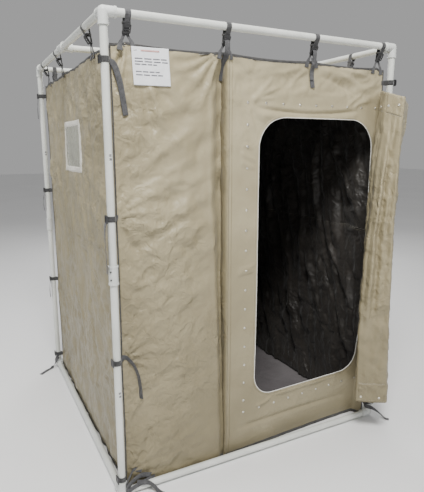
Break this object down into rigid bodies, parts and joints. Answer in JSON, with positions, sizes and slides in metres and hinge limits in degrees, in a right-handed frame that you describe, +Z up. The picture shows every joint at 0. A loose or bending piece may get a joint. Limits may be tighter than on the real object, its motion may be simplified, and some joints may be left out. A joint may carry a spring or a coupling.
{
  "type": "walk-in 3d printer enclosure tent",
  "caption": "Walk-in fabric enclosure with a fold-open door flap and side window, strapped inside a free-standing box frame of plastic pipe.",
  "frame": {"origin": "centre of the box frame's plan, on the ground under the tent floor", "axes": "+X to the right along the front, +Y to the back, +Z up; the door faces -Y"},
  "size_m": [1.809, 1.8585, 2.175],
  "materials": {
    "pipe": "satin white extruded PVC pipe",
    "fitting": "satin white moulded PVC",
    "screw": "black pan-head screw",
    "tent_cloth": "tan coated nylon, light sheen, crumpled",
    "floor_cloth": "grey coated groundsheet",
    "window_film": "cloudy vinyl film",
    "window_tape": "cream woven tape",
    "card": "white laminated card",
    "binding": "black binding tape",
    "webbing": "charcoal nylon webbing",
    "buckle": "black acetal",
    "stud": "nickel press stud"
  },
  "bodies": {
    "root": {"back_wall": "tent_cloth", "bottom_corner_fittings": "fitting", "bottom_rail_back": "pipe", "bottom_rail_front": "pipe", "bottom_rail_left": "pipe", "bottom_rail_right": "pipe", "coupling_screws": "screw", "cross_beam": "pipe", "cross_beam_tees": "fitting", "door_opening_hem": "tent_cloth", "door_panel": "tent_cloth", "edge_binding": "binding", "flap_hinge_tape": "tent_cloth", "front_left_panel": "tent_cloth", "hanging_straps": "webbing", "left_wall": "tent_cloth", "notice_card": "card", "other_strap_buckles": "buckle", "post_back_left_lower": "pipe", "post_back_left_upper": "pipe", "post_back_right_lower": "pipe", "post_back_right_upper": "pipe", "post_couplings": "fitting", "post_front_left_lower": "pipe", "post_front_left_upper": "pipe", "post_front_right_lower": "pipe", "post_front_right_upper": "pipe", "press_studs": "stud", "right_wall": "tent_cloth", "strap_anchors": "webbing", "strap_tails": "webbing", "tent_floor": "floor_cloth", "tent_roof": "tent_cloth", "top_corner_fittings": "fitting", "top_rail_back": "pipe", "top_rail_front": "pipe", "top_rail_left_back_half": "pipe", "top_rail_left_front_half": "pipe", "top_rail_right_back_half": "pipe", "top_rail_right_front_half": "pipe", "window_pane": "window_film", "window_tape_frame": "window_tape"},
    "door_flap_a": {"door_flap_panel_a": "tent_cloth", "snap_caps_a": "stud"},
    "door_flap_b": {"door_flap_panel_b": "tent_cloth", "snap_caps_b": "stud"},
    "door_flap_c": {"door_flap_panel_c": "tent_cloth", "snap_caps_c": "stud"},
    "door_flap_d": {"door_flap_panel_d": "tent_cloth", "snap_caps_d": "stud"},
    "door_flap_e": {"door_flap_panel_e": "tent_cloth", "snap_caps_e": "stud"},
    "rail_buckle_1": {"rail_buckle_1": "buckle"},
    "post_buckle_1": {"post_buckle_1": "buckle"},
    "rail_buckle_2": {"rail_buckle_2": "buckle"},
    "post_buckle_2": {"post_buckle_2": "buckle"},
    "rail_buckle_3": {"rail_buckle_3": "buckle"},
    "post_buckle_3": {"post_buckle_3": "buckle"},
    "rail_buckle_4": {"rail_buckle_4": "buckle"},
    "post_buckle_4": {"post_buckle_4": "buckle"}
  },
  "joints": [
    {"name": "door_hinge", "type": "hinge", "parent": "root", "child": "door_flap_a", "pos_m": [0.7465, -0.794, 1.0415], "axis": [0, 0, 1], "range_deg": [-38, 0]},
    {"name": "flap_fold_1", "type": "hinge", "parent": "door_flap_a", "child": "door_flap_b", "pos_m": [0.58471, -0.92802, 1.0415], "axis": [0, 0, 1], "range_deg": [-107.05, 0]},
    {"name": "flap_fold_2", "type": "hinge", "parent": "door_flap_b", "child": "door_flap_c", "pos_m": [0.72069, -1.02323, 1.0415], "axis": [0, 0, 1], "range_deg": [-84.05, 0]},
    {"name": "flap_fold_3", "type": "hinge", "parent": "door_flap_c", "child": "door_flap_d", "pos_m": [0.84403, -0.88135, 1.0415], "axis": [0, 0, 1], "range_deg": [-173.05, 0]},
    {"name": "flap_fold_4", "type": "hinge", "parent": "door_flap_d", "child": "door_flap_e", "pos_m": [0.71858, -0.97815, 1.0415], "axis": [0, 0, 1], "range_deg": [0, 160.05]},
    {"name": "rail_buckle_1_tilt", "type": "hinge", "parent": "root", "child": "rail_buckle_1", "pos_m": [-0.6855, -0.79546, 2.08527], "axis": [1, 0, 0], "range_deg": [0, 45]},
    {"name": "rail_buckle_2_tilt", "type": "hinge", "parent": "root", "child": "rail_buckle_2", "pos_m": [-0.2255, -0.79546, 2.08527], "axis": [1, 0, 0], "range_deg": [0, 45]},
    {"name": "rail_buckle_3_tilt", "type": "hinge", "parent": "root", "child": "rail_buckle_3", "pos_m": [0.2665, -0.79546, 2.08527], "axis": [1, 0, 0], "range_deg": [0, 45]},
    {"name": "rail_buckle_4_tilt", "type": "hinge", "parent": "root", "child": "rail_buckle_4", "pos_m": [0.7055, -0.79546, 2.08527], "axis": [1, 0, 0], "range_deg": [0, 45]},
    {"name": "post_buckle_1_tilt", "type": "hinge", "parent": "root", "child": "post_buckle_1", "pos_m": [-0.8057, -0.798, 0.0945], "axis": [0, 0, -1], "range_deg": [0, 45]},
    {"name": "post_buckle_2_tilt", "type": "hinge", "parent": "root", "child": "post_buckle_2", "pos_m": [-0.8057, -0.798, 0.6825], "axis": [0, 0, -1], "range_deg": [0, 45]},
    {"name": "post_buckle_3_tilt", "type": "hinge", "parent": "root", "child": "post_buckle_3", "pos_m": [-0.8057, -0.798, 1.3325], "axis": [0, 0, -1], "range_deg": [0, 45]},
    {"name": "post_buckle_4_tilt", "type": "hinge", "parent": "root", "child": "post_buckle_4", "pos_m": [-0.8057, -0.798, 1.9725], "axis": [0, 0, -1], "range_deg": [0, 45]}
  ],
  "couplings": [
    {"joint": "flap_fold_1", "follows": "door_hinge", "ratio": 2.8158},
    {"joint": "flap_fold_2", "follows": "door_hinge", "ratio": 2.2105},
    {"joint": "flap_fold_3", "follows": "door_hinge", "ratio": 4.5526},
    {"joint": "flap_fold_4", "follows": "door_hinge", "ratio": -4.2105}
  ]
}
